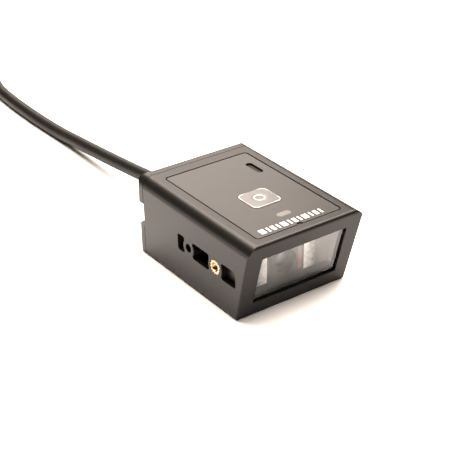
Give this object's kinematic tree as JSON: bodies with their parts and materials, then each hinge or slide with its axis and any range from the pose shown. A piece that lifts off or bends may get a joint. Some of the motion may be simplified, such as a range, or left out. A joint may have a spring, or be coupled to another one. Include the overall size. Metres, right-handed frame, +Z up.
{
  "type": "fixed barcode reader",
  "caption": "Small black fixed barcode reader with a leaning scan window, a read key on top, threaded side inserts and a rear cable that ends in a plug.",
  "frame": {"origin": "under the middle of the case, on its bottom face", "axes": "+Z up, the scan window faces -Y, the cable leaves at +Y, +X is to the reader's own left seen from the window"},
  "size_m": [0.0591, 0.2565, 0.0253],
  "materials": {
    "case_black": "fine satin moulding",
    "steel": "plated",
    "label_film": "satin film",
    "key_film": "satin film",
    "clear_plastic": "milky clear",
    "membrane": "woven",
    "brass": "knurled",
    "window_clear": "clear",
    "foam": "soft foam",
    "inner_black": "matte moulding",
    "frosted": "frosted",
    "red_clear": "tinted clear",
    "lamp_pale": "pale moulding",
    "board_green": "lacquered board",
    "chip": "moulded",
    "lead_red": "lead sheath",
    "cable_black": "satin sheath",
    "strap_black": "ribbed strap",
    "plug_steel": "folded sheet"
  },
  "bodies": {
    "reader": {"case": "case_black", "rear_cover": "case_black", "rear_cover_screws": "steel", "label_sheet": "label_film", "status_lens": "clear_plastic", "sound_membrane": "membrane", "insert_left": "brass", "insert_right": "brass", "window_pane": "window_clear", "window_gasket": "foam", "optics_chassis": "inner_black", "diffuser_left": "frosted", "diffuser_right": "frosted", "aimer_lens": "red_clear", "aimer_lamp": "lamp_pale", "lens_barrel": "inner_black", "front_lens": "window_clear", "lamp_boards": "board_green", "lamps": "lamp_pale", "sensor_board": "board_green", "image_sensor": "chip", "sensor_screws": "steel", "main_board": "board_green", "key_switch": "chip", "sounder": "chip", "status_lamp": "lamp_pale", "lead_header": "lamp_pale", "cable_leads": "lead_red", "cable_relief": "cable_black", "cable": "cable_black", "cable_coil": "cable_black", "cable_tail": "cable_black", "coil_tie": "strap_black", "plug_body": "cable_black", "plug_shell": "plug_steel", "plug_tongue": "lamp_pale"},
    "key": {"read_key": "key_film", "switch_plunger": "lamp_pale"}
  },
  "joints": [
    {"name": "key_press", "type": "slide", "parent": "reader", "child": "key", "axis": [0, 0, -1], "range_m": [0, 0.00035], "stiffness_N_per_m": 4000}
  ]
}
